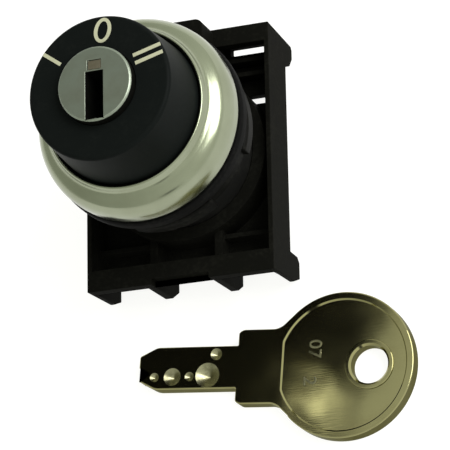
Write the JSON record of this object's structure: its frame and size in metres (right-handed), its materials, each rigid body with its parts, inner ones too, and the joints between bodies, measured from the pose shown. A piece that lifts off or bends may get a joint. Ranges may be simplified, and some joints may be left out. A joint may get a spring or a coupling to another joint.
{
  "type": "selector key switch",
  "caption": "Panel-mounted rotary key switch: round black collar with a grey lock plug, chrome bezel, ring nut, rear mounting adapter, and its loose flat dimple key.",
  "frame": {"origin": "centre of the panel seat, on the switch's axis, at the rear face of the gasket", "axes": "+Z along the switch's axis out of the panel towards the hand, +Y up the panel, +X to the right as the hand faces it"},
  "size_m": [0.0457, 0.0597, 0.0411],
  "materials": {
    "bezel_chrome": "polished",
    "collar_plastic": "satin black moulding",
    "mark_ink": "printed cream ink",
    "body_plastic": "black moulding",
    "gasket_rubber": "matt",
    "lock_zinc": "die-cast, turned",
    "plug_satin": "satin nickel",
    "pin_brass": "turned",
    "spring_steel": "drawn wire",
    "works_acetal": "white moulding",
    "cover_plastic": "grey-black moulding",
    "ring_plastic": "black moulding",
    "adapter_plastic": "black moulding",
    "key_nickel": "nickel plate over brass"
  },
  "bodies": {
    "operator": {"operator_body": "body_plastic", "bezel_ring": "bezel_chrome", "knob_collar": "collar_plastic", "legend_marks": "mark_ink", "panel_gasket": "gasket_rubber", "lock_barrel": "lock_zinc", "barrel_sleeve": "pin_brass", "driver_pins": "pin_brass", "driver_springs": "spring_steel", "shaft_seal": "gasket_rubber", "rear_cover": "cover_plastic", "adapter_frame": "adapter_plastic", "plunger_spring_left": "spring_steel", "plunger_spring_right": "spring_steel", "latch_spring": "spring_steel"},
    "lock_rotor": {"lock_plug": "plug_satin", "key_pins": "pin_brass", "plug_clip": "spring_steel", "drive_shaft": "works_acetal", "switching_cam": "works_acetal", "detent_ball": "spring_steel", "detent_spring": "spring_steel"},
    "left_plunger": {"plunger_left": "works_acetal"},
    "right_plunger": {"plunger_right": "works_acetal"},
    "washer": {"thrust_washer": "ring_plastic"},
    "ring_nut": {"lock_ring": "ring_plastic"},
    "latch": {"adapter_latch": "adapter_plastic"},
    "loose_key": {"key": "key_nickel"}
  },
  "joints": [
    {"name": "plug_turn", "type": "hinge", "parent": "operator", "child": "lock_rotor", "pos_m": [0, 0, 0], "axis": [0, 0, 1], "range_deg": [-60, 60]},
    {"name": "left_plunger_slide", "type": "slide", "parent": "operator", "child": "left_plunger", "axis": [0, 0, 1], "range_m": [-0.002, 0.002], "deforming": ["plunger_spring_left"]},
    {"name": "right_plunger_slide", "type": "slide", "parent": "operator", "child": "right_plunger", "axis": [0, 0, 1], "range_m": [-0.002, 0.002], "deforming": ["plunger_spring_right"]},
    {"name": "washer_slide", "type": "slide", "parent": "operator", "child": "washer", "axis": [0, 0, -1], "range_m": [0, 0.004]},
    {"name": "ring_nut_turn", "type": "hinge", "parent": "washer", "child": "ring_nut", "pos_m": [0, 0, 0], "axis": [0, 0, -1], "range_deg": [0, 960]},
    {"name": "latch_slide", "type": "slide", "parent": "operator", "child": "latch", "axis": [0, 1, 0], "range_m": [0, 0.0011], "stiffness_N_per_m": 400, "springref_m": -0.001, "deforming": ["latch_spring"]},
    {"name": "key_lift", "type": "slide", "parent": "operator", "child": "loose_key", "axis": [0, 0, 1], "range_m": [0, 0.03]}
  ],
  "couplings": [
    {"joint": "right_plunger_slide", "follows": "plug_turn", "m_per_rad": 0.0019099},
    {"joint": "left_plunger_slide", "follows": "plug_turn", "m_per_rad": -0.0019099},
    {"joint": "washer_slide", "follows": "ring_nut_turn", "m_per_rad": 0.00023873}
  ]
}
